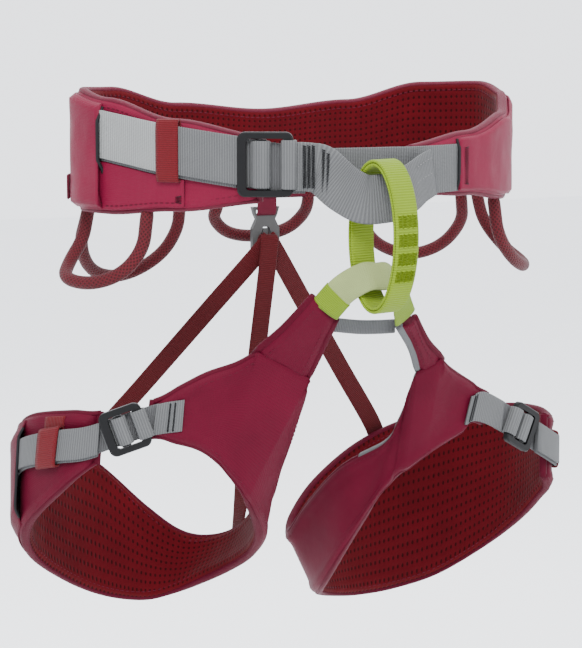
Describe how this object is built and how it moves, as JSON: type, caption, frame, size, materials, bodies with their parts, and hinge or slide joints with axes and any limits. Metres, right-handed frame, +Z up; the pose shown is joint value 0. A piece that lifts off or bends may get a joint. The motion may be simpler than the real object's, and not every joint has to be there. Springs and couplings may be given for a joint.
{
  "type": "climbing harness",
  "caption": "Sport climbing harness: padded waist belt and adjustable leg loops joined by a belay loop, with gear loops and elastic risers.",
  "frame": {"origin": "centre of the waist opening, level with the middle of the waist webbing", "axes": "+Z up, the wearer faces -Y, the wearer's left is +X"},
  "size_m": [0.3651, 0.2437, 0.3502],
  "materials": {
    "padding_foam": "matte",
    "outer_fabric": "satin",
    "mesh_liner": "matte",
    "edge_binding": "satin",
    "grey_webbing": "matte",
    "dark_stitching": "matte",
    "buckle_metal": "satin",
    "red_elastic": "matte",
    "gear_loop_cord": "matte",
    "hook_plastic": "satin",
    "lime_webbing": "satin",
    "pale_sleeve": "matte"
  },
  "bodies": {
    "waist_belt": {"drop_seat_hook": "hook_plastic", "leg_bridge_strap": "grey_webbing", "riser_centre": "red_elastic", "riser_left": "red_elastic", "riser_right": "red_elastic", "riser_tab": "red_elastic", "side_tab": "outer_fabric", "sleeve_end_bands": "lime_webbing", "tie_in_bar_tacks": "dark_stitching", "tie_in_loop": "grey_webbing", "tie_in_sleeve": "pale_sleeve", "waist_bottom_binding": "edge_binding", "waist_buckle_fold": "grey_webbing", "waist_buckle_frame": "buckle_metal", "waist_cover_left": "outer_fabric", "waist_cover_right": "outer_fabric", "waist_foam": "padding_foam", "waist_liner": "mesh_liner", "waist_lower_panel": "outer_fabric", "waist_shell": "outer_fabric", "waist_top_binding": "edge_binding", "waist_webbing_left": "grey_webbing", "waist_webbing_right": "grey_webbing", "waist_webbing_tail": "grey_webbing"},
    "belay_loop": {"belay_loop": "lime_webbing", "belay_loop_bar_tack": "lime_webbing"},
    "right_leg": {"right_leg_buckle_fold": "grey_webbing", "right_leg_buckle_frame": "buckle_metal", "right_leg_edge_bindings": "edge_binding", "right_leg_foam": "padding_foam", "right_leg_front_strap": "grey_webbing", "right_leg_inner_lining": "grey_webbing", "right_leg_liner": "mesh_liner", "right_leg_shell": "outer_fabric", "right_leg_tie_in_tab": "outer_fabric", "right_leg_webbing": "grey_webbing", "right_leg_webbing_tail": "grey_webbing"},
    "left_leg": {"left_leg_buckle_fold": "grey_webbing", "left_leg_buckle_frame": "buckle_metal", "left_leg_edge_bindings": "edge_binding", "left_leg_foam": "padding_foam", "left_leg_front_strap": "grey_webbing", "left_leg_inner_lining": "grey_webbing", "left_leg_liner": "mesh_liner", "left_leg_shell": "outer_fabric", "left_leg_tie_in_tab": "outer_fabric", "left_leg_webbing": "grey_webbing", "left_leg_webbing_tail": "grey_webbing"},
    "gear_front_right": {"gear_loop_front_right": "gear_loop_cord"},
    "gear_rear_right": {"gear_loop_rear_right": "gear_loop_cord"},
    "gear_haul": {"haul_loop": "gear_loop_cord"},
    "gear_rear_left": {"gear_loop_rear_left": "gear_loop_cord"},
    "gear_front_left": {"gear_loop_front_left": "gear_loop_cord"},
    "waist_slider": {"waist_buckle_slider": "buckle_metal"},
    "right_leg_slider": {"right_leg_buckle_slider": "buckle_metal"},
    "left_leg_slider": {"left_leg_buckle_slider": "buckle_metal"},
    "waist_keeper": {"waist_keeper": "red_elastic"},
    "right_leg_keeper": {"right_leg_keeper": "red_elastic"},
    "left_leg_keeper": {"left_leg_keeper": "red_elastic"},
    "hook_gate": {"hook_gate": "hook_plastic"}
  },
  "joints": [
    {"name": "right_leg_swing", "type": "hinge", "parent": "waist_belt", "child": "right_leg", "pos_m": [-0.034, -0.082, -0.083], "axis": [1, 0, 0], "range_deg": [-10, 14], "stiffness_Nm_per_rad": 1.2, "deforming": ["riser_right", "riser_centre"]},
    {"name": "left_leg_swing", "type": "hinge", "parent": "waist_belt", "child": "left_leg", "pos_m": [0.023, -0.075, -0.095], "axis": [1, 0, 0], "range_deg": [-10, 14], "stiffness_Nm_per_rad": 1.2, "deforming": ["riser_left"]},
    {"name": "belay_loop_swing", "type": "hinge", "parent": "waist_belt", "child": "belay_loop", "pos_m": [-0.011, -0.107, -0.0035], "axis": [1, 0, 0], "range_deg": [0, 3], "stiffness_Nm_per_rad": 0.05},
    {"name": "front_right_gear_swing", "type": "hinge", "parent": "waist_belt", "child": "gear_front_right", "pos_m": [-0.1265, 0.0105, -0.0335], "axis": [-0.2464, 0.9692, 0], "range_deg": [-8, 14], "stiffness_Nm_per_rad": 0.02},
    {"name": "rear_right_gear_swing", "type": "hinge", "parent": "waist_belt", "child": "gear_rear_right", "pos_m": [-0.0925, 0.0665, -0.035], "axis": [0.9432, 0.3321, 0], "range_deg": [-8, 10], "stiffness_Nm_per_rad": 0.02},
    {"name": "haul_loop_swing", "type": "hinge", "parent": "waist_belt", "child": "gear_haul", "pos_m": [0.001, 0.081, -0.035], "axis": [1, 0, 0], "range_deg": [-8, 22], "stiffness_Nm_per_rad": 0.02},
    {"name": "rear_left_gear_swing", "type": "hinge", "parent": "waist_belt", "child": "gear_rear_left", "pos_m": [0.1015, 0.065, -0.035], "axis": [0.9151, -0.4033, 0], "range_deg": [-8, 10], "stiffness_Nm_per_rad": 0.02},
    {"name": "front_left_gear_swing", "type": "hinge", "parent": "waist_belt", "child": "gear_front_left", "pos_m": [0.118, -0.0025, -0.033], "axis": [-0.3838, -0.9234, 0], "range_deg": [-8, 14], "stiffness_Nm_per_rad": 0.02},
    {"name": "waist_slider_slide", "type": "slide", "parent": "waist_belt", "child": "waist_slider", "axis": [0.8878, -0.4602, 0], "range_m": [-0.002, 0.003]},
    {"name": "right_leg_slider_slide", "type": "slide", "parent": "right_leg", "child": "right_leg_slider", "axis": [0.8619, -0.3794, 0.3364], "range_m": [-0.002, 0.003]},
    {"name": "left_leg_slider_slide", "type": "slide", "parent": "left_leg", "child": "left_leg_slider", "axis": [-0.8287, -0.3145, 0.4631], "range_m": [-0.002, 0.003]},
    {"name": "waist_keeper_slide", "type": "slide", "parent": "waist_belt", "child": "waist_keeper", "axis": [0.6447, -0.7645, 0], "range_m": [-0.002, 0.002]},
    {"name": "right_leg_keeper_slide", "type": "slide", "parent": "right_leg", "child": "right_leg_keeper", "axis": [0.4158, -0.8813, 0.2244], "range_m": [-0.002, 0.002]},
    {"name": "left_leg_keeper_slide", "type": "slide", "parent": "left_leg", "child": "left_leg_keeper", "axis": [-0.1348, -0.9872, 0.085], "range_m": [-0.002, 0.002]},
    {"name": "hook_gate_flex", "type": "hinge", "parent": "waist_belt", "child": "hook_gate", "pos_m": [0.003, 0.083, -0.053], "axis": [1, 0, 0], "range_deg": [0, 12], "stiffness_Nm_per_rad": 0.02}
  ]
}
